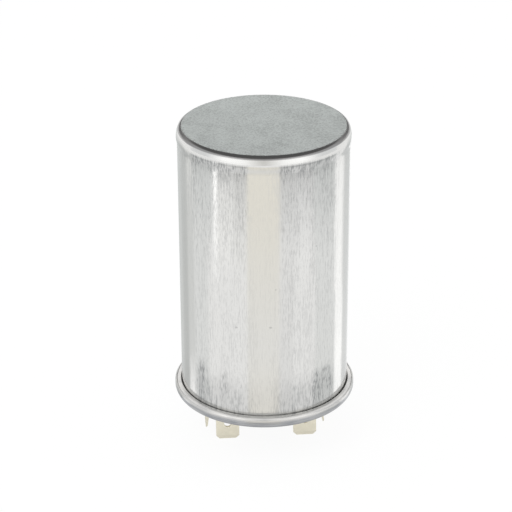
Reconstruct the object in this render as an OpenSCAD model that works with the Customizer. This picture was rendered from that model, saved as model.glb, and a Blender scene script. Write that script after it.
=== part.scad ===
// Round motor run capacitor that stands on its tab terminals, closed end up.
// Z = 0 is the plane of the wide tabs' tips, the can's axis is the Z axis,
// and the two terminals lie on the X axis.

/* [Can] */
// Outside diameter of the straight wall
can_od = 45; // [43:0.5:60]
// Height from the underside of the seam to the closed end
can_h = 76.7; // [60:0.1:120]
// Thickness of the wall
can_wall = 0.5; // [0.4:0.05:0.6]
// Thickness of the closed end
end_t = 0.8; // [0.6:0.1:1.2]
// Radius of the corner round the closed end
corner_r = 1.2; // [0.6:0.1:1.6]
// How far the shoulder under the corner swells past the wall
shoulder_swell = 0.27; // [0.15:0.01:0.35]
// Depth of the shoulder's widest ring under the closed end
shoulder_drop = 2.8; // [2:0.1:3.6]
// Height over which the shoulder runs out into the straight wall
shoulder_run = 2.2; // [1.9:0.1:6]

/* [Cover and seam] */
// Thickness of the cover sheet
cover_t = 0.5; // [0.4:0.05:0.6]
// Height of the rolled seam
seam_h = 3.2; // [3:0.1:4.5]
// Gap between the layers of the seam
seam_gap = 0.12; // [0.05:0.01:0.15]
// Radius of the curl's corner where it is tucked against the wall
tuck_r = 0.3; // [0.2:0.05:0.5]
// Radius of the same corner on the inside of the curl
tuck_root_r = 0.1; // [0.05:0.05:0.2]
// Clearance between the tip of each hook and the bend that it enters
hook_gap = 0.15; // [0.05:0.05:0.2]
// Depth of the cover panel behind the underside of the seam
countersink = 3.4; // [2.8:0.1:5]
// Inside radius of the bend round the panel
panel_bend_r = 0.6; // [0.4:0.1:1.2]
// Diameter of the terminal holes in the panel
terminal_hole_d = 6.6; // [5.5:0.1:8]

/* [Terminals] */
// Distance between the two terminals
terminal_pitch = 21.2; // [19:0.1:22]
// Outward lean of all the tabs, in degrees
tab_splay = 7; // [3:0.5:10]
// Inside radius of the bend at the root of each tab
tab_bend_r = 0.6; // [0.4:0.1:1]
// Height of the wide tabs from their tips to the base of the strip
wide_h = 10; // [9:0.1:14]
// Width of the wide tabs
wide_w = 6.3; // [5.5:0.05:6.5]
// Thickness of the wide tabs
wide_t = 0.8; // [0.7:0.1:1]
// Half length of the flat base between the wide tabs
wide_reach = 3.4; // [3.2:0.1:4]
// Height of the narrow tabs' tips over the wide tabs' tips
narrow_lift = 1.45; // [0.5:0.05:2]
// Width of the narrow tabs
narrow_w = 4.8; // [4:0.1:5]
// Thickness of the narrow tabs
narrow_t = 0.5; // [0.4:0.1:0.8]
// Half length of the flat base between the narrow tabs
narrow_reach = 3.7; // [3.6:0.1:4.2]
// Chamfer on the corners of every tab's tip
tip_chamfer = 0.9; // [0.5:0.1:1.2]
// Length of the bevels that thin every tab's tip
tip_bevel = 1; // [0.5:0.1:1.5]
// Thickness left at the end of the bevels, as a part of the tab's thickness
tip_land = 0.5; // [0.4:0.05:0.8]
// Diameter of the latching hole in the wide tabs
wide_hole_d = 2; // [1.6:0.1:2.4]
// Distance of the wide tabs' latching hole from the tip
wide_hole_up = 4.4; // [3.8:0.1:4.8]
// Diameter of the latching hole in the narrow tabs
narrow_hole_d = 1.4; // [1.2:0.1:1.8]
// Distance of the narrow tabs' latching hole from the tip
narrow_hole_up = 3.2; // [2.8:0.1:3.8]
// Diameter of the rivet's shank
rivet_d = 2.6; // [2:0.1:3]
// Diameter of the rivet's head
rivet_head_d = 4.8; // [4:0.1:5]
// Height of the rivet's head
rivet_head_h = 0.9; // [0.6:0.1:1.2]

/* [Insulators] */
// Height of the bushing from the strips to the gasket
bushing_h = 4.4; // [3.5:0.1:6]
// Diameter of the bushing's boss
boss_d = 10.8; // [10.4:0.1:11.4]
// Diameter of the bushing's flange
flange_d = 14.6; // [13.5:0.1:15]
// Thickness of the bushing's flange
flange_t = 1.6; // [1.2:0.1:2.2]
// Thickness of the gasket under the flange
gasket_t = 0.8; // [0.5:0.1:1.2]
// Outside diameter of the gasket
gasket_d = 13; // [11:0.1:13.4]
// Outside diameter of the washer inside the cover
washer_d = 12; // [10:0.1:13]
// Thickness of the washer inside the cover
washer_t = 1.2; // [0.8:0.1:1.6]
// Outside diameter of the collar that holds the washer
collar_d = 5.2; // [4.4:0.1:6]
// Thickness of the collar
collar_t = 0.9; // [0.6:0.1:1.2]

/* [Pressure disconnect] */
// Space between the cover and the plate
plate_gap = 5.4; // [4.2:0.1:7]
// Thickness of the plate
plate_t = 2; // [1.5:0.1:3]
// Thickness of the skirt that stands on the cover
skirt_t = 1.2; // [0.8:0.1:1.4]
// Diameter of the oil holes through the plate
oil_hole_d = 4; // [2.5:0.5:5]
// Distance of the oil holes from the axis
oil_hole_ring = 13; // [10:0.5:14]
// Angle of each oil hole from the plane midway between the terminals
oil_hole_spread = 30; // [25:1:40]
// Thickness of the break tags
tag_t = 0.3; // [0.2:0.05:0.5]
// Width of the break tags
tag_w = 5; // [4.4:0.1:6]
// Length of the break tags
tag_len = 8; // [7:0.1:9]

/* [Winding] */
// Space between the can and the wrap, filled with oil
oil_gap = 1.9; // [1.6:0.1:3]
// Thickness of the insulating wrap
wrap_t = 0.6; // [0.3:0.1:1]
// Thickness of the sprayed contact layer on each end
spray_t = 0.6; // [0.4:0.1:1]
// Outside diameter of the core tube
core_od = 9; // [8.4:0.1:12]
// Wall of the core tube
core_wall = 1.2; // [0.8:0.1:1.4]
// Height of the spacer ring under the winding
spacer_h = 4; // [3.8:0.1:6]
// Radial width of the spacer ring
spacer_w = 3; // [2:0.1:4]
// Thickness of the cup's floor and wall
cup_t = 0.9; // [0.6:0.1:1.2]
// Depth of the cup round the winding
cup_h = 10; // [6:0.1:16]
// Radial width of the cup's rib that bears on the winding
rib_w = 2; // [1.5:0.1:3]
// Diameter of the lead wires
lead_d = 1; // [0.8:0.1:1.2]
// Bend radius of the long lead, at the wire's middle
lead_bend_r = 2.2; // [1.8:0.1:2.3]
// Length of the long lead soldered along the upper contact layer
solder_len = 8; // [6:0.5:12]
// Wall of the lead's sleeve
sleeve_wall = 0.5; // [0.3:0.05:0.6]

/* [Clearances] */
// Radial clearance of pieces that slip over or into one another
slip = 0.05; // [0.02:0.01:0.1]
// Clearance of the strips between the bushing's posts
post_gap = 0.1; // [0.05:0.05:0.2]
// Radial clearance of the inner mouldings in the can
can_clear = 0.3; // [0.2:0.05:0.5]
// Radial clearance of the rivet's end in the plate
plate_hole_clear = 0.4; // [0.2:0.1:0.8]

/* [Hidden] */
$fn = 96;

// Overshoot of cutting shapes past the faces that they cut
cut = 1;
// Steps in each arc of a computed outline
arc_steps = 8;

// Signs of the two terminals along X
LEFT = -1;
RIGHT = 1;

// Radii of the can and of the seam's layers, from the inside out
can_r = can_od / 2;
can_ir = can_r - can_wall;
chuck_or = can_ir - seam_gap;
chuck_ir = chuck_or - cover_t;
cover_hook_ir = can_r + seam_gap;
cover_hook_or = cover_hook_ir + cover_t;
body_hook_ir = cover_hook_or + seam_gap;
body_hook_or = body_hook_ir + can_wall;
seaming_ir = body_hook_or + seam_gap;
seaming_or = seaming_ir + cover_t;

// Heights of the terminal stack, from the tab tips up to the cover
wide_base_z = wide_h;
narrow_base_z = wide_base_z + wide_t;
bushing_z = narrow_base_z + narrow_t;
gasket_z = bushing_z + bushing_h;
panel_z = gasket_z + gasket_t;
cover_in_z = panel_z + cover_t;

// Heights of the seam and of the can's closed end
seam_z = panel_z - countersink;
top_z = seam_z + can_h;
end_in_z = top_z - end_t;
lower_bend_r = (chuck_ir + seaming_or) / 2;
lower_bend_z = seam_z + (seaming_or - chuck_ir) / 2;
upper_bend_r = (cover_hook_ir + seaming_or) / 2;
upper_bend_z = seam_z + seam_h - (seaming_or - cover_hook_ir) / 2;
body_hook_top_z = upper_bend_z - hook_gap;

// The shoulder swells on one arc and runs out into the wall on another of the same radius
shoulder_z = top_z - shoulder_drop;
shoulder_arc_r = (pow(shoulder_run, 2) + pow(shoulder_swell, 2)) / (4 * shoulder_swell);
shoulder_arc_x = can_r + shoulder_swell - shoulder_arc_r;
runout_arc_x = can_r + shoulder_arc_r;
runout_z = shoulder_z - shoulder_run;
runout_angle = asin(shoulder_run / (2 * shoulder_arc_r));
// The corner's arc is tangent to the closed end and to the shoulder
corner_z = top_z - corner_r;
corner_angle = asin((corner_z - shoulder_z) / (shoulder_arc_r - corner_r));
corner_x = shoulder_arc_x + (shoulder_arc_r - corner_r) * cos(corner_angle);

// Heights of the inner stack, from the cover up to the closed end
washer_z = cover_in_z;
collar_z = washer_z + washer_t;
plate_z = cover_in_z + plate_gap;
plate_top_z = plate_z + plate_t;
tag_top_z = plate_top_z + tag_t;
spacer_top_z = plate_top_z + spacer_h;
winding_z = spacer_top_z + spray_t;
cup_floor_z = end_in_z - cup_t;
rib_h = lead_d + slip;
upper_spray_top_z = cup_floor_z - rib_h;
winding_top_z = upper_spray_top_z - spray_t;

// Radii of the inner pieces
moulding_r = can_ir - can_clear;
wrap_r = can_ir - oil_gap;
winding_r = wrap_r - wrap_t;
skirt_r = chuck_ir - panel_bend_r - can_clear;
core_ir = core_od / 2 - core_wall;
neck_d = terminal_hole_d - 2 * slip;
rivet_hole_d = rivet_d + 2 * slip;

// Places of the terminals and of the wires' joints
terminal_x = terminal_pitch / 2;
short_lead_x = terminal_x + tag_len / 4;
lead_r = lead_d / 2;
lower_run_z = tag_top_z + lead_r;
upper_run_z = upper_spray_top_z + lead_r;

// Points along an arc from one angle to another, without the first
function arc(x, z, r, from, to, steps) =
    [for (i = [1 : steps])
        let (angle = from + (to - from) * i / steps)
            [x + r * cos(angle), z + r * sin(angle)]];

// Rectangle from one corner of an outline to the other
module span(x0, z0, x1, z1) {
    translate([x0, z0])
        square([x1 - x0, z1 - z0]);
}

// Half ring of sheet that turns back on itself, open downwards or upwards
module half_ring(inner, outer, side) {
    intersection() {
        difference() {
            circle(outer);
            circle(inner);
        }
        translate([-outer, side > 0 ? 0 : -outer])
            square([2 * outer, outer]);
    }
}

// Section of a curl, round on its outer side and tucked tight towards the axis
module curl(r, corner) {
    intersection() {
        circle(r);
        square(r);
    }
    intersection() {
        translate([corner - r, r - corner])
            circle(corner);
        span(-r, r - corner, corner - r, r);
    }
    span(-r, 0, 0, r - corner);
    span(corner - r, 0, 0, r);
}

// Tube about the Z axis
module tube(outer_r, inner_r, z0, z1) {
    translate([0, 0, z0])
        difference() {
            cylinder(r = outer_r, h = z1 - z0);
            translate([0, 0, -cut])
                cylinder(r = inner_r, h = z1 - z0 + 2 * cut);
        }
}

// Outside of the can from the seam's bend up to the closed end
module can_outline() {
    polygon(concat(
        [[0, lower_bend_z], [can_r, lower_bend_z], [can_r, runout_z]],
        arc(runout_arc_x, runout_z, shoulder_arc_r, 180, 180 - runout_angle, arc_steps),
        arc(shoulder_arc_x, shoulder_z, shoulder_arc_r, -runout_angle, corner_angle, arc_steps),
        arc(corner_x, corner_z, corner_r, corner_angle, 90, arc_steps),
        [[0, top_z]]
    ));
}

// Drawn can whose flange turns out and up into the body hook
module can() {
    color([0.80, 0.79, 0.76])
        rotate_extrude() {
            difference() {
                can_outline();
                span(-cut, lower_bend_z - cut, can_ir, end_in_z);
            }
            translate([lower_bend_r, lower_bend_z])
                half_ring(body_hook_ir - lower_bend_r, body_hook_or - lower_bend_r, -1);
            span(body_hook_ir, lower_bend_z, body_hook_or, body_hook_top_z);
        }
}

// Section of the cover: panel, chuck wall, and the curl round the body hook
module cover_section() {
    bend_or = panel_bend_r + cover_t;
    bend_x = chuck_or - bend_or;
    bend_z = cover_in_z - bend_or;
    span(0, panel_z, bend_x, cover_in_z);
    intersection() {
        translate([bend_x, bend_z])
            half_ring(panel_bend_r, bend_or, 1);
        span(bend_x, bend_z, chuck_or, cover_in_z);
    }
    span(chuck_ir, lower_bend_z, chuck_or, bend_z);
    translate([lower_bend_r, lower_bend_z])
        half_ring(lower_bend_r - chuck_or, lower_bend_r - chuck_ir, -1);
    span(seaming_ir, lower_bend_z, seaming_or, upper_bend_z);
    translate([upper_bend_r, upper_bend_z])
        difference() {
            curl(seaming_or - upper_bend_r, tuck_r);
            translate([0, -cut])
                span(upper_bend_r - seaming_ir, 0, seaming_ir - upper_bend_r, cut);
            curl(seaming_ir - upper_bend_r, tuck_root_r);
        }
    span(cover_hook_ir, lower_bend_z + hook_gap, cover_hook_or, upper_bend_z);
}

// Stamped cover, rolled over the can's flange
module cover() {
    color([0.74, 0.72, 0.68])
        difference() {
            rotate_extrude()
                cover_section();
            for (side = [LEFT, RIGHT])
                translate([side * terminal_x, 0, panel_z - cut])
                    cylinder(d = terminal_hole_d, h = cover_t + 2 * cut);
        }
}

// Sealing compound between the body hook's edge and the curl
module seam_compound() {
    color([0.25, 0.25, 0.27])
        rotate_extrude() {
            translate([upper_bend_r, upper_bend_z])
                curl(seaming_ir - upper_bend_r, tuck_root_r);
            span(cover_hook_or, body_hook_top_z, seaming_ir, upper_bend_z);
        }
}

// Length of a tab from the end of its root bend to its tip, along the tab
function tab_length(t, base_z, tip_z) =
    (base_z - tab_bend_r + (tab_bend_r + t * (1 - tip_land) / 2) * sin(tab_splay) - tip_z)
    / cos(tab_splay);

// Section of half a strip: flat base, root bend, and the tab with its bevelled tip
module strip_section(t, reach, base_z, tip_z) {
    root_z = base_z - tab_bend_r;
    outer = tab_bend_r + t;
    bevel = t * (1 - tip_land) / 2;
    length = tab_length(t, base_z, tip_z);
    tab = [
        [tab_bend_r, length - tip_bevel],
        [tab_bend_r + bevel, length],
        [outer - bevel, length],
        [outer, length - tip_bevel],
        [outer, 0]
    ];
    polygon(concat(
        [[0, base_z + t], [0, base_z], [reach, base_z]],
        arc(reach, root_z, tab_bend_r, 90, tab_splay, arc_steps),
        [for (p = tab)
            [reach + p.x * cos(tab_splay) + p.y * sin(tab_splay),
             root_z + p.x * sin(tab_splay) - p.y * cos(tab_splay)]],
        arc(reach, root_z, outer, tab_splay, 90, arc_steps)
    ));
}

// Cuts in one tab: the corners of its tip and the latching hole
module tab_cuts(w, t, reach, base_z, tip_z, hole_d, hole_up) {
    length = tab_length(t, base_z, tip_z);
    translate([reach, 0, base_z - tab_bend_r])
        rotate([0, -tab_splay, 0])
            translate([tab_bend_r - cut, 0, -length]) {
                rotate([90, 0, 90])
                    linear_extrude(t + 2 * cut)
                        for (side = [-1, 1])
                            translate([side * w / 2, 0])
                                rotate(45)
                                    square(sqrt(2) * tip_chamfer, center = true);
                translate([0, 0, hole_up])
                    rotate([0, 90, 0])
                        cylinder(d = hole_d, h = t + 2 * cut);
            }
}

// U strip along X with a tab at each end and a rivet hole in its base
module tab_strip(w, t, reach, base_z, tip_z, hole_d, hole_up) {
    difference() {
        for (turn = [0, 180])
            rotate(turn)
                rotate([90, 0, 0])
                    linear_extrude(w, center = true)
                        strip_section(t, reach, base_z, tip_z);
        for (turn = [0, 180])
            rotate(turn)
                tab_cuts(w, t, reach, base_z, tip_z, hole_d, hole_up);
        translate([0, 0, base_z - cut])
            cylinder(d = rivet_hole_d, h = t + 2 * cut);
    }
}

// Strip with the front and rear tabs of a terminal
module wide_tabs(side) {
    color([0.86, 0.84, 0.77])
        translate([side * terminal_x, 0, 0])
            rotate(90)
                tab_strip(wide_w, wide_t, wide_reach, wide_base_z, 0, wide_hole_d, wide_hole_up);
}

// Strip with the two side tabs of a terminal, which lies over the wide strip
module narrow_tabs(side) {
    color([0.84, 0.82, 0.75])
        translate([side * terminal_x, 0, 0])
            tab_strip(narrow_w, narrow_t, narrow_reach, narrow_base_z, narrow_lift,
                narrow_hole_d, narrow_hole_up);
}

// Moulded bushing whose four posts keep the strips from turning
module bushing(side) {
    slot_x = wide_w + 2 * post_gap;
    slot_y = narrow_w + 2 * post_gap;
    post_h = bushing_z - wide_base_z;
    color([0.20, 0.19, 0.18])
        translate([side * terminal_x, 0, 0])
            difference() {
                union() {
                    translate([0, 0, wide_base_z])
                        cylinder(d = boss_d, h = gasket_z - wide_base_z);
                    translate([0, 0, gasket_z - flange_t])
                        cylinder(d = flange_d, h = flange_t);
                    translate([0, 0, gasket_z])
                        cylinder(d = neck_d, h = cover_in_z - gasket_z);
                }
                translate([-slot_x / 2, -boss_d, wide_base_z - cut])
                    cube([slot_x, 2 * boss_d, post_h + cut]);
                translate([-boss_d, -slot_y / 2, wide_base_z - cut])
                    cube([2 * boss_d, slot_y, post_h + cut]);
                translate([0, 0, wide_base_z])
                    cylinder(d = rivet_hole_d, h = cover_in_z - wide_base_z + cut);
            }
}

// Rubber seal between the bushing's flange and the cover
module gasket(side) {
    color([0.12, 0.12, 0.12])
        translate([side * terminal_x, 0, 0])
            tube(gasket_d / 2, neck_d / 2 + slip, gasket_z, panel_z);
}

// Rivet that carries the strips, with a low domed head
module rivet(side) {
    head_r = rivet_head_d / 2;
    dome_r = (pow(head_r, 2) + pow(rivet_head_h, 2)) / (2 * rivet_head_h);
    color([0.82, 0.80, 0.74])
        translate([side * terminal_x, 0, 0]) {
            translate([0, 0, wide_base_z])
                cylinder(d = rivet_d, h = plate_top_z - wide_base_z);
            intersection() {
                translate([0, 0, wide_base_z - rivet_head_h + dome_r])
                    sphere(dome_r);
                translate([0, 0, wide_base_z - rivet_head_h])
                    cylinder(d = rivet_head_d + cut, h = rivet_head_h);
            }
        }
}

// Insulating washer on the inside of the cover
module inner_washer(side) {
    color([0.75, 0.70, 0.55])
        translate([side * terminal_x, 0, 0])
            tube(washer_d / 2, rivet_hole_d / 2, washer_z, collar_z);
}

// Collar swaged on the rivet to hold the stack together
module collar(side) {
    color([0.78, 0.77, 0.72])
        translate([side * terminal_x, 0, 0])
            tube(collar_d / 2, rivet_hole_d / 2, collar_z, collar_z + collar_t);
}

// Insulating plate on a skirt, with holes for the rivet ends and the oil
module disconnect_plate() {
    color([0.62, 0.45, 0.28])
        difference() {
            union() {
                tube(skirt_r, skirt_r - skirt_t, cover_in_z, plate_z);
                translate([0, 0, plate_z])
                    cylinder(r = moulding_r, h = plate_t);
            }
            for (side = [LEFT, RIGHT])
                translate([side * terminal_x, 0, plate_z - cut])
                    cylinder(r = rivet_d / 2 + plate_hole_clear, h = plate_t + 2 * cut);
            for (half = [90, 270], side = [LEFT, RIGHT])
                rotate(half + side * oil_hole_spread)
                    translate([oil_hole_ring, 0, plate_z - cut])
                        cylinder(d = oil_hole_d, h = plate_t + 2 * cut);
        }
}

// Foil tag welded to the end of a rivet
module break_tag(side) {
    color([0.80, 0.68, 0.40])
        translate([side * terminal_x - tag_len / 2, -tag_w / 2, plate_top_z])
            cube([tag_len, tag_w, tag_t]);
}

// Ring that carries the winding over the plate
module spacer_ring() {
    color([0.88, 0.88, 0.84])
        tube(wrap_r, wrap_r - spacer_w, plate_top_z, spacer_top_z);
}

// Sprayed metal layer on the lower end of the winding
module lower_end_spray() {
    color([0.60, 0.60, 0.62])
        tube(winding_r, core_od / 2, spacer_top_z, winding_z);
}

// Wound film
module winding() {
    color([0.84, 0.84, 0.86])
        tube(winding_r, core_od / 2, winding_z, winding_top_z);
}

// Sprayed metal layer on the upper end of the winding
module upper_end_spray() {
    color([0.60, 0.60, 0.62])
        tube(winding_r, core_od / 2, winding_top_z, upper_spray_top_z);
}

// Plastic core of the winding
module core_tube() {
    color([0.90, 0.90, 0.88])
        tube(core_od / 2, core_ir, spacer_top_z, upper_spray_top_z);
}

// Insulating wrap round the winding
module film_wrap() {
    color([0.92, 0.90, 0.82])
        tube(wrap_r, winding_r, spacer_top_z, upper_spray_top_z);
}

// Insulating cup in the closed end, with a rib that bears on the winding
module end_cup() {
    color([0.90, 0.90, 0.88]) {
        translate([0, 0, cup_floor_z])
            cylinder(r = moulding_r, h = cup_t);
        tube(moulding_r, moulding_r - cup_t, cup_floor_z - cup_h, cup_floor_z);
        tube(winding_r, winding_r - rib_w, upper_spray_top_z, cup_floor_z);
    }
}

// Wire from the left tag to the lower contact layer
module short_lead() {
    color([0.80, 0.78, 0.72])
        translate([LEFT * short_lead_x, 0, tag_top_z])
            cylinder(d = lead_d, h = spacer_top_z - tag_top_z);
}

// Quarter turn of wire in the XZ plane from the axis towards +X
module lead_bend(flip, z) {
    translate([lead_bend_r, 0, z])
        rotate([90, flip, 0])
            rotate_extrude(angle = 90)
                translate([lead_bend_r, 0])
                    circle(lead_r);
}

// Wire from the right tag, up through the core and over the upper contact layer
module long_lead() {
    foot_z = lower_run_z + lead_bend_r;
    head_z = upper_run_z - lead_bend_r;
    color([0.80, 0.78, 0.72]) {
        translate([lead_bend_r, 0, lower_run_z])
            rotate([0, 90, 0])
                cylinder(d = lead_d, h = terminal_x - lead_bend_r);
        lead_bend(180, foot_z);
        translate([0, 0, foot_z])
            cylinder(d = lead_d, h = head_z - foot_z);
        lead_bend(-90, head_z);
        translate([lead_bend_r, 0, upper_run_z])
            rotate([0, 90, 0])
                cylinder(d = lead_d, h = solder_len);
    }
}

// Sleeve on the straight stretch of the long lead inside the core
module lead_sleeve() {
    sleeve_ir = lead_r + slip;
    color([0.85, 0.83, 0.78])
        tube(sleeve_ir + sleeve_wall, sleeve_ir, lower_run_z + lead_bend_r, upper_run_z - lead_bend_r);
}

can();
cover();
seam_compound();
wide_tabs(LEFT);  // left_wide_tabs
wide_tabs(RIGHT);  // right_wide_tabs
narrow_tabs(LEFT);  // left_narrow_tabs
narrow_tabs(RIGHT);  // right_narrow_tabs
bushing(LEFT);  // left_bushing
bushing(RIGHT);  // right_bushing
gasket(LEFT);  // left_gasket
gasket(RIGHT);  // right_gasket
rivet(LEFT);  // left_rivet
rivet(RIGHT);  // right_rivet
inner_washer(LEFT);  // left_inner_washer
inner_washer(RIGHT);  // right_inner_washer
collar(LEFT);  // left_collar
collar(RIGHT);  // right_collar
disconnect_plate();
break_tag(LEFT);  // left_break_tag
break_tag(RIGHT);  // right_break_tag
spacer_ring();
lower_end_spray();
winding();
upper_end_spray();
core_tube();
film_wrap();
end_cup();
short_lead();
long_lead();
lead_sleeve();
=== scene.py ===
import math
from typing import NamedTuple

import bpy
from bpy.props import FloatProperty, FloatVectorProperty, PointerProperty
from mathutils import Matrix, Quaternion, Vector


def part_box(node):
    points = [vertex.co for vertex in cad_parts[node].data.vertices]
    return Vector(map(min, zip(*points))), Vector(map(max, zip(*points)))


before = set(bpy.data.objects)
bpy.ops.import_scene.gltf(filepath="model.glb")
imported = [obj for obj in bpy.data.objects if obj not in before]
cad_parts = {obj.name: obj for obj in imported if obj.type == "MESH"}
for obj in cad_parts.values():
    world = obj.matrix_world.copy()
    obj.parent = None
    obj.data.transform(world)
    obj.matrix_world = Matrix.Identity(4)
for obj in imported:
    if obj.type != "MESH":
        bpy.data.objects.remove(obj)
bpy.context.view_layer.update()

bl_info = {
    "name": "Motor run capacitor",
    "version": (1, 0, 0),
    "blender": (4, 5, 0),
    "location": "3D View > Sidebar > Capacitor",
    "description": "Finishes, stage and camera for a round motor run capacitor",
    "category": "Object",
}

MM = 0.001
WHITE = (1.0, 1.0, 1.0)

# Heights of the closed end and of the seam, which the finishes follow
TOP_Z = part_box("can")[1].z
SEAM_LOW_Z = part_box("can")[0].z
SEAM_TOP_Z = SEAM_LOW_Z + 2.6 * MM
# Radius of the straight wall
WALL_R = 22.5 * MM


def colour_setting(name, description, default):
    """A colour that the user can change."""
    return FloatVectorProperty(
        name=name,
        description=description,
        default=default,
        subtype="COLOR",
        size=3,
        min=0.0,
        max=1.0,
    )


def length_setting(name, description, default):
    """A length in metres that the user can change."""
    return FloatProperty(
        name=name, description=description, default=default, unit="LENGTH", min=0.0
    )


def angle_setting(name, description, default):
    """An angle in degrees, kept in radians, that the user can change."""
    return FloatProperty(
        name=name, description=description, default=math.radians(default), subtype="ANGLE"
    )


def share_setting(name, description, default):
    """A share from none to all that the user can change."""
    return FloatProperty(
        name=name, description=description, default=default, subtype="FACTOR", min=0.0, max=1.0
    )


class CanSettings(bpy.types.PropertyGroup):
    """Finish of the drawn can."""

    wall: colour_setting("Wall", "Bright drawn aluminium of the wall", (0.757, 0.755, 0.74))
    # The tarnish colour darkens the draw lines and pits, and also carries the painted shade and
    # dark reflections on the wall
    tarnish_and_shade: colour_setting(
        "Tarnish", "Grey of the draw lines and rubbed marks", (0.36, 0.365, 0.365)
    )
    # Painted reflection: the corner colour is a dark ring that stands for the dark surroundings
    # overhead, which the rounded corner reflects
    corner: colour_setting(
        "Corner", "Dark ring that the draw leaves on the corner", (0.24, 0.235, 0.235)
    )
    end: colour_setting("Closed end", "Dull undrawn sheet of the closed end", (0.68, 0.718, 0.70))
    line_width: length_setting("Draw line", "Width of one draw line", 0.24 * MM)
    line_length: length_setting("Draw line length", "Length over which a line fades", 4 * MM)
    line_depth: length_setting("Draw line depth", "Depth of the draw lines", 0.004 * MM)
    grain: length_setting("End grain", "Size of the grain of the closed end", 0.45 * MM)
    wall_roughness: share_setting("Wall roughness", "Roughness between the draw lines", 0.13)
    end_roughness: share_setting("End roughness", "Roughness of the closed end", 0.34)


class SeamSettings(bpy.types.PropertyGroup):
    """Finish of the cover, its rolled seam and the compound in it."""

    plate: colour_setting("Tinplate", "Tin-plated sheet of the cover", (0.70, 0.69, 0.67))
    # The roll marks colour also carries the painted shade on the underside of the seam
    wear_and_shade: colour_setting("Roll marks", "Darker marks of the seaming rolls", (0.30, 0.31, 0.33))
    compound: colour_setting("Compound", "Cured sealing compound", (0.44, 0.38, 0.29))
    mark_width: length_setting("Mark width", "Width of one roll mark", 0.22 * MM)
    mark_length: length_setting("Mark length", "Length over which a mark fades", 6 * MM)
    mark_depth: length_setting("Mark depth", "Depth of the roll marks", 0.012 * MM)
    roughness: share_setting("Roughness", "Roughness of the rolled sheet", 0.17)


class TerminalSettings(bpy.types.PropertyGroup):
    """Finish of the tabs, rivets and insulators."""

    tin: colour_setting("Tin", "Dull tin plating of the tabs", (0.91, 0.865, 0.72))
    rivet: colour_setting("Rivet", "Plating of the rivets and collars", (0.78, 0.76, 0.70))
    bushing: colour_setting("Bushing", "Dark moulded bushing", (0.035, 0.032, 0.030))
    rubber: colour_setting("Rubber", "Black rubber gasket", (0.018, 0.018, 0.018))
    board: colour_setting("Board", "Pressed insulating board", (0.55, 0.45, 0.26))


class InnerSettings(bpy.types.PropertyGroup):
    """Finish of the pieces inside the can."""

    phenolic: colour_setting("Plate", "Brown moulded disconnect plate", (0.30, 0.16, 0.07))
    brass: colour_setting("Tag", "Thin brass foil of the break tags", (0.72, 0.52, 0.22))
    natural: colour_setting(
        "Natural plastic", "Milky plastic of the core, ring and cup", (0.74, 0.74, 0.70)
    )
    zinc: colour_setting("Zinc", "Sprayed zinc contact layer", (0.42, 0.42, 0.44))
    film: colour_setting("Film", "Edges of the metallised film", (0.70, 0.70, 0.73))
    wrap: colour_setting("Wrap", "Insulating wrap round the winding", (0.80, 0.76, 0.62))
    wire: colour_setting("Wire", "Tinned copper lead wire", (0.70, 0.66, 0.58))
    sleeve: colour_setting("Sleeve", "Insulating sleeve on the long lead", (0.66, 0.62, 0.52))


class StageSettings(bpy.types.PropertyGroup):
    """Floor, surroundings, lamp and camera."""

    floor: colour_setting("Floor", "Pale floor", WHITE)
    shadow: share_setting("Shadow", "How much of the floor's shade is kept", 0.07)
    ambient: FloatProperty(
        name="Ambient", description="Strength of the white surroundings", default=0.95, min=0.0
    )
    azimuth: angle_setting("Azimuth", "Camera's turn about the can", -5.1)
    elevation: angle_setting("Elevation", "Camera's height over the horizon", 25.355)
    distance: length_setting(
        "Distance", "Camera's distance from the point that it looks at", 519.5 * MM
    )
    aim: length_setting("Aim", "Height of the point that the camera looks at", 52.14 * MM)
    aside: length_setting(
        "Aside", "How far the camera stands to the left of the can's axis", 2.16 * MM
    )
    roll: angle_setting("Roll", "Camera's turn about its own line of sight", -0.217)
    lamp: FloatProperty(
        name="Lamp", description="Power of the soft lamp", default=3.0, unit="POWER", min=0.0
    )
    lamp_size: length_setting("Lamp size", "Width of the soft lamp", 0.6)
    lens: FloatProperty(
        name="Lens", description="Focal length", default=137.3, unit="CAMERA", min=1.0
    )


class CapacitorSettings(bpy.types.PropertyGroup):
    """All that a user of the capacitor can change."""

    can: PointerProperty(type=CanSettings)
    seam: PointerProperty(type=SeamSettings)
    terminal: PointerProperty(type=TerminalSettings)
    inner: PointerProperty(type=InnerSettings)
    stage: PointerProperty(type=StageSettings)


class Term:
    """A socket of a node tree that takes part in Python expressions."""

    def __init__(self, sheet, socket):
        self.sheet = sheet
        self.socket = socket

    def __add__(self, other):
        return self.sheet.maths("ADD", self, other)

    def __radd__(self, other):
        return self.sheet.maths("ADD", other, self)

    def __sub__(self, other):
        return self.sheet.maths("SUBTRACT", self, other)

    def __rsub__(self, other):
        return self.sheet.maths("SUBTRACT", other, self)

    def __mul__(self, other):
        return self.sheet.maths("MULTIPLY", self, other)

    def __rmul__(self, other):
        return self.sheet.maths("MULTIPLY", other, self)

    def __truediv__(self, other):
        return self.sheet.maths("DIVIDE", self, other)

    def __rtruediv__(self, other):
        return self.sheet.maths("DIVIDE", other, self)

    def __pow__(self, other):
        return self.sheet.maths("POWER", self, other)

    def __rpow__(self, other):
        return self.sheet.maths("POWER", other, self)


# Sockets of a Mix node for colours, which share their names with its other kinds
MIX_SHARE, MIX_FIRST, MIX_SECOND = 0, 6, 7


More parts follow.
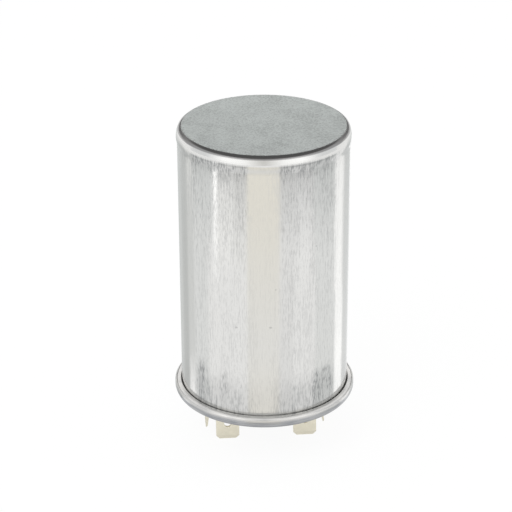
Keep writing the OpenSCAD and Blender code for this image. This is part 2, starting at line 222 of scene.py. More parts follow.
class Sheet:
    """The node tree of a material or world, on which its finish is written down."""

    def __init__(self, owner):
        owner.use_nodes = True
        self.owner = owner
        self.tree = owner.node_tree
        self.tree.nodes.clear()

    def node(self, kind, settings=None, inputs=None):
        """Adds a node, sets its settings and then its sockets, and gives its outputs by name."""
        made = self.tree.nodes.new(kind)
        for name, value in (settings or {}).items():
            setattr(made, name, value)
        for key, value in (inputs or {}).items():
            if isinstance(value, Term):
                self.tree.links.new(value.socket, made.inputs[key])
            else:
                made.inputs[key].default_value = value
        return {socket.identifier: Term(self, socket) for socket in made.outputs}

    def maths(self, operation, *values):
        """One step of shader maths on values."""
        inputs = dict(enumerate(values))
        return self.node("ShaderNodeMath", {"operation": operation}, inputs)["Value"]

    def vector(self, operation, *values):
        """One step of shader maths on vectors."""
        inputs = dict(enumerate(values))
        return self.node("ShaderNodeVectorMath", {"operation": operation}, inputs)["Vector"]

    def place(self):
        """The point on the object, in metres in the frame."""
        return self.node("ShaderNodeTexCoord")["Object"]

    def axes(self):
        """The same point as its X, Y and Z."""
        parts = self.node("ShaderNodeSeparateXYZ", inputs={"Vector": self.place()})
        return parts["X"], parts["Y"], parts["Z"]

    def fade(self, value, low, high):
        """Rises smoothly from 0 at low to 1 at high."""
        settings = {"interpolation_type": "SMOOTHSTEP"}
        inputs = {"Value": value, "From Min": low, "From Max": high}
        return self.node("ShaderNodeMapRange", settings, inputs)["Result"]

    def between(self, value, low, high, soft):
        """1 from low to high, falling to 0 over a soft edge on both sides."""
        risen = self.fade(value, low - soft, low + soft)
        return risen * (1 - self.fade(value, high - soft, high + soft))

    def noise(self, size, detail=2.0, rough=0.5, seed=0.0):
        """Cloudy noise from 0 to 1, with cells of the given size in metres on X, Y and Z."""
        scaled = self.vector("MULTIPLY", self.place(), tuple(1 / edge for edge in size))
        inputs = {"Vector": scaled, "W": seed, "Scale": 1.0, "Detail": detail, "Roughness": rough}
        return self.node("ShaderNodeTexNoise", {"noise_dimensions": "4D"}, inputs)["Fac"]

    def mix(self, share, first, second):
        """A colour that goes from the first to the second."""
        inputs = {MIX_SHARE: share, MIX_FIRST: first, MIX_SECOND: second}
        return self.node("ShaderNodeMix", {"data_type": "RGBA"}, inputs)["Result_Color"]

    def bump(self, height, depth):
        """A normal that follows a height from 0 to 1, which stands for a depth in metres."""
        return self.node("ShaderNodeBump", inputs={"Height": height, "Distance": depth})["Normal"]

    def close(self, shader):
        """Leads a shader to the material's output, and gives the material."""
        self.node("ShaderNodeOutputMaterial", inputs={"Surface": shader})
        return self.owner

    def finish(self, **inputs):
        """Closes the sheet with a Principled surface, its sockets written with underscores."""
        named = {key.replace("_", " "): value for key, value in inputs.items()}
        return self.close(self.node("ShaderNodeBsdfPrincipled", inputs=named)["BSDF"])


def material_sheet(name):
    """An empty sheet for a new material."""
    return Sheet(bpy.data.materials.new(name))


def opaque(colour, share=1.0):
    """A colour, or a darker share of it, with full alpha as sockets take it."""
    return (*(part * share for part in colour), 1.0)


def dress(nodes, material):
    """Gives CAD nodes a material."""
    for name in nodes:
        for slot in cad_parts[name].material_slots:
            slot.material = material


def both(name):
    """The left and the right node of a pair."""
    return [f"left_{name}", f"right_{name}"]


# Bands of the can, each by the two heights between which it sets in
END_RIM = (TOP_Z - 0.05 * MM, TOP_Z - 0.01 * MM)
CORNER_FOOT = (TOP_Z - 1.08 * MM, TOP_Z - 0.78 * MM)
SHOULDER_FOOT = (TOP_Z - 3.0 * MM, TOP_Z - 2.1 * MM)
COLLAR_FOOT = (TOP_Z - 8.5 * MM, TOP_Z - 4 * MM)
UPPER_WALL = (55 * MM, 88 * MM)
FOOT_TOP = (SEAM_TOP_Z, SEAM_TOP_Z + 1.8 * MM)
# Painted reflection: darker ring under the shoulder, from its low to its high edge, and how soft
# they are
SHOULDER_REFLECTION_RING = (TOP_Z - 4.9 * MM, TOP_Z - 2.6 * MM)
SHOULDER_REFLECTION_RING_EDGE = 0.4 * MM

# How much each cause darkens the wall, and how much more high up or where a line crosses it; the
# collar, marks, foot, ring and corner are painted shade and reflection, the lines and pits are the
# wall's own
LINE_DULL, LINE_DULL_HIGH = 0.30, 0.32
COLLAR_PAINTED_DARK, COLLAR_PAINTED_DARK_LINED = 0.20, 0.3
MARK_PAINTED_SHADE, MARK_PAINTED_SHADE_LINED = 0.56, 0.5
FOOT_PAINTED_SHADE = 0.18
RING_PAINTED_DARK, RING_PAINTED_DARK_IN_STRIPS = 0.22, 0.1
PIT_DULL = 0.45
CORNER_REFLECTION_SHARE = 0.8
# How much of its lines and marks a strip of painted reflection loses
STRIP_PAINTED_LIGHT = 0.8

# Values of the noise between which a line, or the closed end's bright grain, stands out
LINE_SHOWS = (0.46, 0.60)
GRAIN_SHOWS = (0.33, 0.60)
# Share of its brightness that the closed end keeps between the grain
END_DARK = 0.55
# Size of the closed end's clouds and height of its grain, as multiples of grain and line
END_CLOUD = 14
END_RELIEF = 2.0
# How much rougher the lines of the wall and the grain of the closed end are
LINE_ROUGHER = 0.08
GRAIN_ROUGHER = 0.12

# Painted reflection: strip at the front with few lines, lighter for the pale floor that the wall
# reflects there, by its angles from the front in degrees
FRONT_STRIP = (-16.0, 5.0)
FRONT_EDGE = math.radians(1.5)
# Heights below which the front strip blurs, and how much softer and weaker it gets
FRONT_BLUR = (38 * MM, 66 * MM)
FRONT_SOFTER = math.radians(7)
FRONT_WEAKER = 0.25
# Painted reflection: strips at the sides with fewer lines than the rest, lighter for the bright
# surroundings that the wall reflects there
SIDE_STRIPS = ((-86.0, -60.0), (50.5, 80.0))
SIDE_EDGE = math.radians(2.5)
SIDE_SHARE = 0.75


class Mark(NamedTuple):
    """A painted reflection of shade low on the wall, in degrees from the front and in mm."""

    angle: float
    half_width: float
    top: float
    share: float


MARKS = (
    Mark(-53.0, 3.4, 29.5, 0.7),
    Mark(-34.5, 3.0, 28.5, 0.75),
    Mark(38.5, 8.0, 28.5, 0.9),
    Mark(97.0, 5.0, 27.0, 0.5),
    Mark(151.0, 4.0, 28.0, 0.6),
    Mark(-121.0, 6.0, 27.5, 0.6),
    Mark(-164.0, 3.0, 28.5, 0.5),
)
MARK_EDGE = math.radians(2.2)
# How far the marks stray with the lines, up and down in metres and aside in radians
STRAY_LONG = 9 * MM
STRAY_FINE = 3 * MM
STRAY_ASIDE = 0.25
# Faint band of painted shadow reflection all round, by the heights between which it ends
BAND_TOP = (20 * MM, 29 * MM)
BAND_SHARE = 0.52
# Steps in mm from a mark's top between which it ends, and those over which it fades downwards
MARK_ENDS = (-2.5, 0.5)
MARK_FADES = (-11, -3)
MARK_FAINTEST = 0.3
# How much of a mark shows where its patches are weakest, and how much more elsewhere
PATCHES_LEAST, PATCHES_MORE = 0.35, 0.9
PATCHES_SHOW = (0.38, 0.62)


class Pit(NamedTuple):
    """A pit in the wall, in degrees from the front and in mm."""

    angle: float
    height: float
    half_width: float


PITS = (
    Pit(-1.2, 42.3, 0.45),
    Pit(2.2, 53.1, 0.28),
    Pit(-24.0, 41.8, 0.4),
    Pit(31.0, 63.5, 0.3),
    Pit(104.0, 47.0, 0.4),
    Pit(168.0, 58.5, 0.45),
    Pit(-118.0, 36.0, 0.35),
)
# Height of a pit as a share of its width, and its edge as squares of the half width
PIT_SQUAT = 0.7
PIT_EDGE = (0.3, 1.2)


class WallNoise(NamedTuple):
    """The noises that make the wall's finish, each from 0 to 1."""

    fine: Term
    long: Term
    peel: Term
    bands: Term


def wall_noise(sheet, settings):
    """Noises drawn out along the wall, from single lines to wide bands."""
    width, length = settings.line_width, settings.line_length
    return WallNoise(
        fine=sheet.noise((width, width, length), rough=0.6),
        long=sheet.noise((width * 2.5, width * 2.5, length * 6), rough=0.6, seed=3.0),
        peel=sheet.noise((width * 1.5, width * 1.5, width * 6), seed=5.0),
        bands=sheet.noise((width * 16, width * 16, length * 8), seed=11.0),
    )


def upright_strip(sheet, angle, edges, soft):
    """1 on the wall between two angles in degrees, with soft edges in radians."""
    low, high = (math.radians(edge) for edge in edges)
    return sheet.between(angle, low, high, soft)


def painted_reflection_strips(sheet, angle, z):
    """How free of lines the wall is on the strips of painted reflection at the front and the sides.
    """
    blurred = 1 - sheet.fade(z, *FRONT_BLUR)
    front = upright_strip(sheet, angle, FRONT_STRIP, FRONT_EDGE + FRONT_SOFTER * blurred)
    painted_strips = front * (1 - FRONT_WEAKER * blurred)
    for edges in SIDE_STRIPS:
        painted_strips = painted_strips + upright_strip(sheet, angle, edges, SIDE_EDGE) * SIDE_SHARE
    return painted_strips


def painted_shadow_marks(sheet, angle, z, noise, kept):
    """Painted reflection of shade: a faint ragged band of dark marks over the seam, and the single
    marks in it.
    """
    ragged = z + (noise.long - 0.5) * STRAY_LONG + (noise.fine - 0.5) * STRAY_FINE
    strayed = angle + (noise.long - 0.5) * STRAY_ASIDE
    patches = sheet.fade(noise.peel * 0.6 + noise.bands * 0.4, *PATCHES_SHOW)
    patches = PATCHES_LEAST + PATCHES_MORE * patches
    marks = (1 - sheet.fade(ragged, *BAND_TOP)) * BAND_SHARE * kept
    for mark in MARKS:
        edges = (mark.angle - mark.half_width, mark.angle + mark.half_width)
        across = upright_strip(sheet, strayed, edges, MARK_EDGE)
        under = 1 - sheet.fade(ragged, *((mark.top + step) * MM for step in MARK_ENDS))
        height_fade = sheet.fade(z, *((mark.top + step) * MM for step in MARK_FADES))
        height_fade = MARK_FAINTEST + (1 - MARK_FAINTEST) * height_fade
        marks = marks + across * under * height_fade * patches * mark.share
    return marks


def pitted(sheet, angle, z):
    """1 in the middle of each pit, falling to 0 at its edge."""
    pits = 0.0
    for pit in PITS:
        half = pit.half_width * MM
        across = (angle - math.radians(pit.angle)) * (WALL_R / half)
        along = (z - pit.height * MM) / (half * PIT_SQUAT)
        pits = pits + (1 - sheet.fade(across * across + along * along, *PIT_EDGE))
    return pits


def drawn_aluminium(settings):
    """Drawn wall with lengthwise lines, and the dull grain of the closed end."""
    sheet = material_sheet("drawn_aluminium")
    x, y, z = sheet.axes()
    angle = sheet.maths("ARCTAN2", x, y * -1.0)
    noise = wall_noise(sheet, settings)
    grain = sheet.noise((settings.grain,) * 3, detail=3.0, rough=0.75, seed=7.0)
    cloud = sheet.noise((settings.grain * END_CLOUD,) * 3, detail=3.0, seed=9.0)

    end = sheet.fade(z, *END_RIM)
    wall = 1 - end
    lined = 1 - sheet.fade(z, *SHOULDER_FOOT)
    corner = sheet.fade(z, *CORNER_FOOT) * wall
    # Painted reflection: a band under the shoulder that darkens the wall
    collar = sheet.fade(z, *COLLAR_FOOT) * lined
    # Painted reflection: a darker ring under the shoulder
    ring = sheet.between(z, *SHOULDER_REFLECTION_RING, SHOULDER_REFLECTION_RING_EDGE)
    # Painted shade: darkens the foot of the wall just over the seam
    foot = 1 - sheet.fade(z, *FOOT_TOP)

    lines = noise.fine * 0.45 + noise.long * 0.2 + noise.peel * 0.35
    rubbed = sheet.fade(lines * 0.85 + noise.bands * 0.15, *LINE_SHOWS)
    # Painted reflection: lighter strips at the front and the sides, where the lines fade
    painted_strips = painted_reflection_strips(sheet, angle, z)
    kept = 1 - STRIP_PAINTED_LIGHT * painted_strips
    drawn = (LINE_DULL + LINE_DULL_HIGH * sheet.fade(z, *UPPER_WALL)) * kept * lined
    # Painted shadow reflection: dark marks low on the wall that stand for the floor's shade round
    # the can
    marks = painted_shadow_marks(sheet, angle, z, noise, kept)
    dulled_and_shaded = (
        rubbed * drawn
        + collar * (1 - painted_strips) * (COLLAR_PAINTED_DARK + rubbed * COLLAR_PAINTED_DARK_LINED)
        + marks * (MARK_PAINTED_SHADE + rubbed * MARK_PAINTED_SHADE_LINED)
        + foot * FOOT_PAINTED_SHADE
        + ring * (RING_PAINTED_DARK - RING_PAINTED_DARK_IN_STRIPS * painted_strips)
        + pitted(sheet, angle, z) * PIT_DULL
    )
    dulled_and_shaded = sheet.maths("MINIMUM", dulled_and_shaded, 1.0)

    # Mixes towards the tarnish colour for the lines and pits, and for the painted shade and
    # reflections of the collar, marks, foot and ring
    wall_colour = sheet.mix(dulled_and_shaded, opaque(settings.wall), opaque(settings.tarnish_and_shade))
    # Painted reflection: darkens the rounded corner towards the corner colour
    wall_colour = sheet.mix(corner * CORNER_REFLECTION_SHARE, wall_colour, opaque(settings.corner))
    bright = sheet.fade(grain * 0.8 + cloud * 0.2, *GRAIN_SHOWS)
    end_colour = sheet.mix(bright, opaque(settings.end, END_DARK), opaque(settings.end))
    wall_rough = settings.wall_roughness + rubbed * LINE_ROUGHER
    end_rough = settings.end_roughness + grain * GRAIN_ROUGHER
    return sheet.finish(
        Base_Color=sheet.mix(end, wall_colour, end_colour),
        Metallic=1.0,
        Roughness=wall * wall_rough + end * end_rough,
        Normal=sheet.bump(lined * lines + end * grain * END_RELIEF, settings.line_depth),
    )


# Painted shade on the underside of the seam, by the heights between which it ends, and how far they
# stray
UNDERSIDE_TOP = (SEAM_LOW_Z + 1.1 * MM, SEAM_LOW_Z + 1.9 * MM)
UNDERSIDE_STRAY = 0.6 * MM
# How much the roll marks and the painted shade on the underside darken the seam
ROLL_DARK = 0.45
UNDERSIDE_PAINTED_SHADE = 0.7
ROLL_SHOWS = (0.42, 0.72)
ROLL_ROUGHER = 0.12
SEAM_CLOUD = 5 * MM


def seam_tinplate(settings):
    """Rolled tin-plated sheet, with fine marks round the seam and painted shade under it."""
    sheet = material_sheet("seam_tinplate")
    cells = (settings.mark_length, settings.mark_length, settings.mark_width)
    marks = sheet.noise(cells, detail=3.0, rough=0.6, seed=2.0)
    cloud = sheet.noise((SEAM_CLOUD,) * 3, seed=5.0)
    z = sheet.axes()[2] + (cloud - 0.5) * UNDERSIDE_STRAY
    # Painted shade: darkens the lower half of the seam, which faces the floor's shade
    under = 1 - sheet.fade(z, *UNDERSIDE_TOP)
    worn = sheet.fade(marks * 0.6 + cloud * 0.4, *ROLL_SHOWS)
    worn_and_shaded = worn * ROLL_DARK + under * UNDERSIDE_PAINTED_SHADE
    return sheet.finish(
        Base_Color=sheet.mix(worn_and_shaded, opaque(settings.plate), opaque(settings.wear_and_shade)),
        Metallic=1.0,
        Roughness=settings.roughness + worn * ROLL_ROUGHER,
        Normal=sheet.bump(marks, settings.mark_depth),
    )


# Clouds and scratches of plated metal, and how dark and rough they are
PLATING_CLOUD = 2.2 * MM
PLATING_SHOWS = (0.3, 0.7)
PLATING_DARK = 0.94
SCRATCH = (0.15 * MM, 0.15 * MM, 4 * MM)
SCRATCH_DEPTH = 0.003 * MM
SCRATCH_ROUGHER = 0.12


def plated(name, colour, rough, seed):
    """Dull plated metal, with faint clouds and scratches."""
    sheet = material_sheet(name)
    cloud = sheet.noise((PLATING_CLOUD,) * 3, detail=3.0, seed=seed)
    scratch = sheet.noise(SCRATCH, seed=seed + 1)
    bright = sheet.fade(cloud, *PLATING_SHOWS)
    return sheet.finish(
        Base_Color=sheet.mix(bright, opaque(colour, PLATING_DARK), opaque(colour)),
        Metallic=1.0,
        Roughness=rough + scratch * SCRATCH_ROUGHER,
        Normal=sheet.bump(scratch, SCRATCH_DEPTH),
    )


# Clouds and pores of moulded pieces, the pores' depth as a share of their width
MOULDED_CLOUD = 3 * MM
MOULDED_SHOWS = (0.35, 0.65)
MOULDED_DARK = 0.75
PORE_DEPTH = 0.05
PORE_ROUGHER = 0.15


def moulded(name, colour, rough, grain, seed):
    """Moulded, pressed or sprayed material, with a fine grain."""
    sheet = material_sheet(name)
    cloud = sheet.noise((MOULDED_CLOUD,) * 3, detail=3.0, seed=seed)
    pores = sheet.noise((grain,) * 3, detail=3.0, rough=0.6, seed=seed + 1)
    bright = sheet.fade(cloud * 0.5 + pores * 0.5, *MOULDED_SHOWS)
    return sheet.finish(
        Base_Color=sheet.mix(bright, opaque(colour, MOULDED_DARK), opaque(colour)),
        Roughness=rough + pores * PORE_ROUGHER,
        Normal=sheet.bump(pores, grain * PORE_DEPTH),
    )


# Ring-shaped edges of the wound film, and the clouds over them
FILM_PITCH = 0.35 * MM
FILM_DEPTH = 0.01 * MM
FILM_CLOUD = 4 * MM
FILM_SHOWS = (0.2, 0.9)
FILM_DARK = 0.8
FILM_METALLIC = 0.6
FILM_ROUGHNESS, FILM_ROUGHER = 0.3, 0.2


def wound_film(colour):
    """Film edges that run round the winding's ends in fine rings."""
    sheet = material_sheet("wound_film")
    x, y, _ = sheet.axes()
    radius = (x * x + y * y) ** 0.5
    wave = sheet.maths("SINE", radius * (2 * math.pi / FILM_PITCH))
    cloud = sheet.noise((FILM_CLOUD,) * 3, seed=21.0)
    bright = sheet.fade(wave * 0.3 + cloud, *FILM_SHOWS)
    return sheet.finish(
        Base_Color=sheet.mix(bright, opaque(colour, FILM_DARK), opaque(colour)),
        Metallic=FILM_METALLIC,
        Roughness=FILM_ROUGHNESS + cloud * FILM_ROUGHER,
        Normal=sheet.bump(wave * 0.5 + 0.5, FILM_DEPTH),
    )


class CapacitorOperator(bpy.types.Operator):
    """Shared part of the capacitor's operators"""

    bl_options = {"REGISTER", "UNDO"}


class CAPACITOR_OT_can(CapacitorOperator):
    """Finishes the drawn can"""

    bl_idname = "capacitor.can"
    bl_label = "Can"

    def execute(self, context):
        dress(["can"], drawn_aluminium(context.scene.capacitor.can))
        return {"FINISHED"}


class CAPACITOR_OT_cover(CapacitorOperator):
    """Finishes the cover with its rolled seam, and the compound that seals it"""

    bl_idname = "capacitor.cover"
    bl_label = "Cover and seam"

    def execute(self, context):
        settings = context.scene.capacitor.seam
        compound = moulded(
            "sealing_compound", settings.compound, rough=0.5, grain=0.3 * MM, seed=31.0
        )
        dress(["cover"], seam_tinplate(settings))
        dress(["seam_compound"], compound)
        return {"FINISHED"}


class CAPACITOR_OT_terminals(CapacitorOperator):
    """Finishes the tabs, rivets and insulators of both terminals"""

    bl_idname = "capacitor.terminals"
    bl_label = "Terminals"

    def execute(self, context):
        settings = context.scene.capacitor.terminal
        tin = plated("tab_tin", settings.tin, rough=0.38, seed=41.0)
        rivet = plated("rivet_tin", settings.rivet, rough=0.3, seed=43.0)
        plastic = moulded(
            "bushing_plastic", settings.bushing, rough=0.38, grain=0.25 * MM, seed=45.0
        )
        rubber = moulded("gasket_rubber", settings.rubber, rough=0.6, grain=0.2 * MM, seed=47.0)
        board = moulded("washer_board", settings.board, rough=0.7, grain=0.4 * MM, seed=49.0)
        dress(both("wide_tabs") + both("narrow_tabs"), tin)
        dress(both("rivet") + both("collar"), rivet)
        dress(both("bushing"), plastic)
        dress(both("gasket"), rubber)
        dress(both("inner_washer"), board)
        return {"FINISHED"}


class CAPACITOR_OT_inside(CapacitorOperator):
    """Finishes the pressure disconnect, the winding and its leads"""

    bl_idname = "capacitor.inside"
    bl_label = "Inside"

    def execute(self, context):
        settings = context.scene.capacitor.inner
        phenolic = moulded(
            "plate_phenolic", settings.phenolic, rough=0.42, grain=0.3 * MM, seed=51.0
        )
        brass = plated("tag_brass", settings.brass, rough=0.25, seed=53.0)
        natural = moulded("core_plastic", settings.natural, rough=0.4, grain=0.3 * MM, seed=55.0)
        zinc = moulded("zinc_spray", settings.zinc, rough=0.6, grain=0.5 * MM, seed=57.0)
        wrap = moulded("wrap_film", settings.wrap, rough=0.45, grain=0.8 * MM, seed=59.0)
        copper = plated("lead_copper", settings.wire, rough=0.3, seed=61.0)
        sleeve = moulded("sleeve_plastic", settings.sleeve, rough=0.5, grain=0.2 * MM, seed=63.0)
        dress(["disconnect_plate"], phenolic)
        dress(both("break_tag"), brass)
        dress(["core_tube", "spacer_ring", "end_cup"], natural)
        dress(["lower_end_spray", "upper_end_spray"], zinc)
        dress(["winding"], wound_film(settings.film))
        dress(["film_wrap"], wrap)
        dress(["short_lead", "long_lead"], copper)
        dress(["lead_sleeve"], sleeve)
        return {"FINISHED"}


def put(name, data, place=(0.0, 0.0, 0.0)):
    """Links a new object of the stage."""
    made = bpy.data.objects.new(name, data)
    made.location = place
    bpy.context.scene.collection.objects.link(made)
    return made


def background_share(sheet):
    """1 for rays that show the background: from the camera, or by way of gloss or glass."""
    path = sheet.node("ShaderNodeLightPath")
    shown = sheet.maths("MAXIMUM", path["Is Camera Ray"], path["Is Glossy Ray"])
    return sheet.maths("MAXIMUM", shown, path["Is Transmission Ray"])


# Half the width of the floor in metres
FLOOR_REACH = 3.0


def floor(settings):
    """Pale floor that is white to the camera and keeps some of the object's shade."""
    low, high = -FLOOR_REACH, FLOOR_REACH
    mesh = bpy.data.meshes.new("floor")
    corners = [(low, low, 0), (high, low, 0), (high, high, 0), (low, high, 0)]
    mesh.from_pydata(corners, [], [(0, 1, 2, 3)])
    made = put("floor", mesh)
    sheet = material_sheet("pale_floor")
    colour = {"Color": opaque(settings.floor)}
    lit = sheet.node("ShaderNodeBsdfDiffuse", inputs=colour)["BSDF"]
    white = sheet.node("ShaderNodeEmission", inputs=colour)["Emission"]
    share = background_share(sheet) * (1 - settings.shadow)
    mixed = sheet.node("ShaderNodeMixShader", inputs={0: share, 1: lit, 2: white})["Shader"]
    mesh.materials.append(sheet.close(mixed))


def surroundings(settings):
    """White all round, at full strength where it shows and dimmer where it lights."""
    world = bpy.data.worlds.new("studio")
    bpy.context.scene.world = world
    sheet = Sheet(world)
    share = background_share(sheet)
    strength = share + (1 - share) * settings.ambient
    inputs = {"Color": opaque(WHITE), "Strength": strength}
    back = sheet.node("ShaderNodeBackground", inputs=inputs)["Background"]
    sheet.node("ShaderNodeOutputWorld", inputs={"Surface": back})


def camera(settings):
    """Camera at the photograph's angle. Gives the place of its eye."""
    turn, rise = settings.azimuth, settings.elevation
    level = math.cos(rise)
    back = Vector((math.sin(turn) * level, -math.cos(turn) * level, math.sin(rise)))
    right = Vector((math.cos(turn), math.sin(turn), 0.0))
    aim = Vector((0.0, 0.0, settings.aim))
    data = bpy.data.cameras.new("camera")
    data.lens = settings.lens
    made = put("camera", data, aim + back * settings.distance - right * settings.aside)
    made.rotation_mode = "QUATERNION"
    rolled = Quaternion((0, 0, 1), settings.roll)
    made.rotation_quaternion = (-back).to_track_quat("-Z", "Y") @ rolled
    bpy.context.scene.camera = made
    return made.location


def glowing(name, points, faces, tones, facing_down=False):
    """Stage piece that only polished surfaces show, with a tone at each of its points."""
    mesh = bpy.data.meshes.new(name)
    mesh.from_pydata(points, [], faces)
    colours = mesh.color_attributes.new("tone", "FLOAT_COLOR", "POINT")
    colours.data.foreach_set("color", [part for tone in tones for part in opaque(tone)])
    sheet = material_sheet(name)
    tone = sheet.node("ShaderNodeVertexColor", {"layer_name": "tone"})["Color"]
    glow = sheet.node("ShaderNodeEmission", inputs={"Color": tone})["Emission"]
    if facing_down:
        clear = sheet.node("ShaderNodeBsdfTransparent")["BSDF"]
        behind = sheet.node("ShaderNodeNewGeometry")["Backfacing"]
        glow = sheet.node("ShaderNodeMixShader", inputs={0: behind, 1: glow, 2: clear})["Shader"]
    mesh.materials.append(sheet.close(glow))
    made = put(name, mesh)
    made.visible_camera = False
    made.visible_diffuse = False
    made.visible_shadow = False


def lattice(rows, columns):
    """Quads between rows of points that lie one after the other."""
    return [
        (i * columns + j, i * columns + j + 1, (i + 1) * columns + j + 1, (i + 1) * columns + j)
        for i in range(rows - 1)
        for j in range(columns - 1)
    ]


def grey(tone):
    """A tone without colour."""
    return (tone, tone, tone)


def part_way(first, second, share):
    """A number on the way from the first to the second."""
    return first + (second - first) * share


def blend(first, second, share):
    """A tone on the way from the first to the second."""
    return tuple(part_way(a, b, share) for a, b in zip(first, second))


def outward(eye, angle):
    """Level direction away from the can, at an angle in degrees to the right of the eye."""
    turn = math.atan2(eye.y, eye.x) + math.radians(angle)
    return Vector((math.cos(turn), math.sin(turn), 0.0))


def mirrored(eye, angle, height):
    """The spot on the floor that the wall shows to the eye, at an angle and a height."""
    normal = outward(eye, angle)
    point = normal * WALL_R + Vector((0.0, 0.0, height))
    ray = (point - eye).normalized().reflect(normal)
    return point - ray * (point.z / ray.z)


class Card(NamedTuple):
    """A card on the floor, by the angles in degrees and heights in mm where the wall shows it.

    Its tone goes from low to high, and then fades to white up to the height far, if it has one.
    """

    name: str
    angles: tuple
    heights: tuple
    low: tuple
    high: tuple
    far: float = 0.0


# Heights from over the seam to under the shoulder, and the one where a far card is white
WALL_SPAN = (14, 92)
FAR = 150
CARDS = (
    Card("front_low_card", (-11.0, 10.0), (14, 36), (0.955, 0.93, 0.87), (0.945, 0.94, 0.92)),
    Card("front_card", (-11.0, 10.0), (36, 92), (0.945, 0.94, 0.92), (0.96, 0.92, 0.82)),
    Card("left_edge_card", (-86, -71.5), WALL_SPAN, (0.69, 0.705, 0.70), (0.70, 0.72, 0.715), FAR),
    Card("left_side_card", (-71.5, -62), WALL_SPAN, (0.62, 0.632, 0.627), (0.65, 0.665, 0.66), FAR),
    Card("left_pale_foot", (-62, -54), (14, 30), grey(1.3), (0.78, 0.79, 0.785)),
    Card("left_pale_card", (-62, -54), (30, 70), (0.78, 0.79, 0.785), (0.78, 0.79, 0.785)),
    Card("left_pale_top", (-62, -54), (70, 92), (0.78, 0.79, 0.785), (0.90, 0.91, 0.90), FAR),
    Card("left_inner_card", (-54, -40), (14, 66), (0.91, 0.92, 0.92), (0.89, 0.90, 0.90)),
    Card("left_far_card", (-54, -35), (66, 92), (0.89, 0.90, 0.90), (0.70, 0.72, 0.72)),
    Card("left_streak", (-35, -31.5), (52, 92), grey(1.1), grey(1.5)),
    Card("left_mid_card", (-31.5, -20), (60, 82), (1.1, 1.1, 1.09), (0.97, 0.97, 0.965)),
    Card("left_mid_top", (-31.5, -20), (82, 88), (0.97, 0.97, 0.965), (0.54, 0.545, 0.545)),
    Card("left_near_card", (-20, -11.0), (60, 82), (1.04, 1.04, 1.03), (0.83, 0.83, 0.825)),
    Card("left_near_top", (-20, -11.0), (82, 88), (0.83, 0.83, 0.825), grey(0.39)),
    Card("right_near_low_card", (10.0, 19.5), (14, 60), grey(0.90), grey(0.95)),
    Card("right_near_card", (10.0, 22), (60, 82), grey(1.0), (0.77, 0.775, 0.78)),
    Card("right_near_top", (10.0, 22), (82, 88), (0.77, 0.775, 0.78), grey(0.37)),
    Card("right_mid_card", (22, 34), (60, 82), grey(1.06), (0.83, 0.835, 0.84)),
    Card("right_mid_top", (22, 34), (82, 88), (0.83, 0.835, 0.84), (0.41, 0.415, 0.42)),
    Card("right_inner_card", (36, 55.2), (14, 62), (0.88, 0.89, 0.885), (0.92, 0.93, 0.93)),
    Card("right_far_card", (34, 53.4), (62, 92), (0.92, 0.93, 0.93), (0.66, 0.68, 0.68)),
    Card("right_low_strip", (55.6, 66.4), (14, 48), grey(1.35), grey(1.2)),
    Card("right_high_strip", (53.4, 63.6), (48, 92), grey(1.24), grey(1.10)),
    Card("right_edge_card", (65.8, 79.6), WALL_SPAN, (0.84, 0.85, 0.85), (0.72, 0.735, 0.735), FAR),
    Card("right_edge_streak", (79.6, 83.2), (60, 92), grey(1.0), grey(1.4)),
)
CARD_STEPS = 9
CARD_LIFT = Vector((0.0, 0.0, 0.2 * MM))


def cards(eye):
    """Cards laid on the floor round the can, where its wall shows them to the eye."""
    shares = [i / (CARD_STEPS - 1) for i in range(CARD_STEPS)]
    for card in CARDS:
        top = card.heights[1]
        steps = [(part_way(*card.heights, up), blend(card.low, card.high, up)) for up in shares]
        if card.far:
            steps += [
                (part_way(top, card.far, up), blend(card.high, WHITE, up)) for up in shares[1:]
            ]
        points = []
        for across in shares:
            angle = part_way(*card.angles, across)
            points += [mirrored(eye, angle, height * MM) + CARD_LIFT for height, _ in steps]
        tones = [tone for _, tone in steps] * CARD_STEPS
        glowing(card.name, points, lattice(CARD_STEPS, len(steps)), tones)


class Screen(NamedTuple):
    """A standing screen, by its angles from the eye in degrees and its heights in metres.

    Its tones follow each other from the first angle to the second.
    """

    name: str
    angles: tuple
    heights: tuple
    tones: tuple


BACK = grey(1.55)
BRIGHT = grey(1.32)
LIGHT = grey(1.2)
SOFT = (0.82, 0.83, 0.84)
PALE = (0.72, 0.71, 0.69)
DIM = grey(0.62)
DARK = grey(0.32)
SCREENS = (
    Screen("camera_screen", (-25, 25), (0.0, 0.8), (LIGHT, PALE, LIGHT)),
    Screen("left_light", (-104, -25), (0.0, 0.75), (SOFT, SOFT, BRIGHT, LIGHT)),
    Screen("right_light", (25, 104), (0.0, 0.75), (LIGHT, BRIGHT, SOFT, SOFT)),
    Screen("left_dark", (-170, -104), (0.16, 0.75), (DARK, DARK, DIM, SOFT)),
    Screen("right_dark", (104, 170), (0.16, 0.75), (SOFT, DIM, DARK, DARK)),
    Screen("back_dark", (170, 190), (0.16, 0.36), (DARK, DARK)),
    Screen("back_light", (158, 202), (0.38, 1.0), (LIGHT, BACK, LIGHT)),
)
SCREEN_STEPS = 13
# Distance of the screens from the can's axis in metres
SCREEN_AWAY = 0.95


def screens(eye):
    """Screens round the can, which the seam, the shoulder and the corner show."""
    for screen in SCREENS:
        points = []
        tones = []
        for i in range(SCREEN_STEPS):
            share = i / (SCREEN_STEPS - 1)
            foot = SCREEN_AWAY * outward(eye, part_way(*screen.angles, share))
            points += [foot + Vector((0.0, 0.0, height)) for height in screen.heights]
            along = share * (len(screen.tones) - 1)
            before = min(int(along), len(screen.tones) - 2)
            tone = blend(*screen.tones[before:before + 2], along - before)
            tones += [tone] * len(screen.heights)
        glowing(screen.name, points, lattice(SCREEN_STEPS, len(screen.heights)), tones)


class Disc(NamedTuple):
    """A flat piece of rings about a centre, each with a radius in metres and a grey tone."""

    name: str
    centre: Vector
    rings: tuple
    facing_down: bool = False


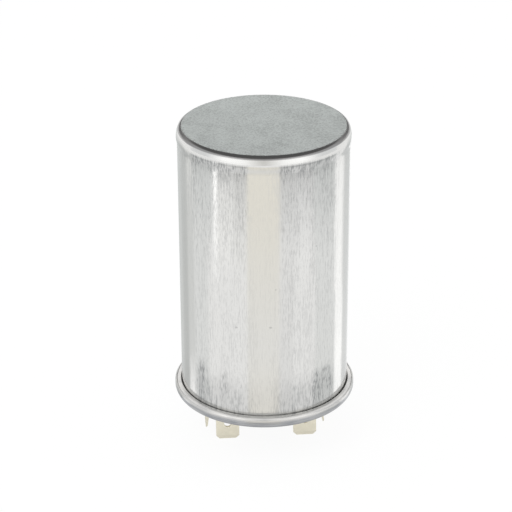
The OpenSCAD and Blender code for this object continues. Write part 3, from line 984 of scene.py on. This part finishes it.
# Ceiling that darkens overhead, which the closed end and its rounded corner show
CEILING = Disc(
    "ceiling",
    Vector((0.0, 0.04, 0.6)),
    ((0.01, 0.20), (0.60, 0.22), (0.72, 0.34), (0.92, 0.75), (1.3, 1.0)),
)
# Collar over the seam, which shows only from below
COLLAR = Disc(
    "collar",
    Vector((0.0, 0.0, 40 * MM)),
    ((24 * MM, 0.85), (40 * MM, 1.0), (64 * MM, 1.15)),
    facing_down=True,
)
# Shade on the floor under the can
SHADE = Disc(
    "shade",
    Vector((0.0, 0.0, 0.1 * MM)),
    ((1 * MM, 0.66), (23 * MM, 0.70), (27 * MM, 0.85), (32 * MM, 1.0)),
)
DISC_SIDES = 48


def discs():
    """Flat pieces over and under the can, which the closed end and the seam show."""
    turns = [2 * math.pi * i / DISC_SIDES for i in range(DISC_SIDES + 1)]
    for disc in (CEILING, COLLAR, SHADE):
        points = []
        tones = []
        for radius, tone in disc.rings:
            for turn in turns:
                points.append(disc.centre + radius * Vector((math.cos(turn), math.sin(turn), 0.0)))
                tones.append(grey(tone))
        glowing(disc.name, points, lattice(len(disc.rings), len(turns)), tones, disc.facing_down)


LAMP_PLACE = Vector((-0.5, -0.6, 0.9))


def lamp(settings):
    """Soft lamp to the front and left, which polished surfaces don't show."""
    data = bpy.data.lights.new("soft_lamp", "AREA")
    data.size = settings.lamp_size
    data.energy = settings.lamp
    made = put("soft_lamp", data, LAMP_PLACE)
    made.rotation_mode = "QUATERNION"
    made.rotation_quaternion = (-LAMP_PLACE).to_track_quat("-Z", "Y")
    made.visible_glossy = False


class CAPACITOR_OT_stage(CapacitorOperator):
    """Sets up the floor, surroundings, camera, lamp, and the cards and screens that gloss shows"""

    bl_idname = "capacitor.stage"
    bl_label = "Stage"

    def execute(self, context):
        settings = context.scene.capacitor.stage
        floor(settings)
        surroundings(settings)
        eye = camera(settings)
        cards(eye)
        screens(eye)
        discs()
        lamp(settings)
        context.scene.view_settings.view_transform = "Standard"
        return {"FINISHED"}


# Each group of settings, with the operator that uses it
STEPS = (
    ("can", "capacitor.can"),
    ("seam", "capacitor.cover"),
    ("terminal", "capacitor.terminals"),
    ("inner", "capacitor.inside"),
    ("stage", "capacitor.stage"),
)


class CAPACITOR_PT_sidebar(bpy.types.Panel):
    """Lists the capacitor's settings and operators"""

    bl_idname = "CAPACITOR_PT_sidebar"
    bl_label = "Motor run capacitor"
    bl_space_type = "VIEW_3D"
    bl_region_type = "UI"
    bl_category = "Capacitor"

    def draw(self, context):
        for name, operator in STEPS:
            group = getattr(context.scene.capacitor, name)
            column = self.layout.column(align=True)
            for key in group.__annotations__:
                column.prop(group, key)
            column.operator(operator)


CLASSES = (
    CanSettings,
    SeamSettings,
    TerminalSettings,
    InnerSettings,
    StageSettings,
    CapacitorSettings,
    CAPACITOR_OT_can,
    CAPACITOR_OT_cover,
    CAPACITOR_OT_terminals,
    CAPACITOR_OT_inside,
    CAPACITOR_OT_stage,
    CAPACITOR_PT_sidebar,
)


def register():
    """Adds the classes and the scene's settings."""
    for cls in CLASSES:
        bpy.utils.register_class(cls)
    bpy.types.Scene.capacitor = PointerProperty(type=CapacitorSettings)


def unregister():
    """Takes them out again."""
    del bpy.types.Scene.capacitor
    for cls in reversed(CLASSES):
        bpy.utils.unregister_class(cls)


def main():
    """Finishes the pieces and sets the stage."""
    register()
    bpy.ops.capacitor.can()
    bpy.ops.capacitor.cover()
    bpy.ops.capacitor.terminals()
    bpy.ops.capacitor.inside()
    bpy.ops.capacitor.stage()


if __name__ == "__main__":
    main()
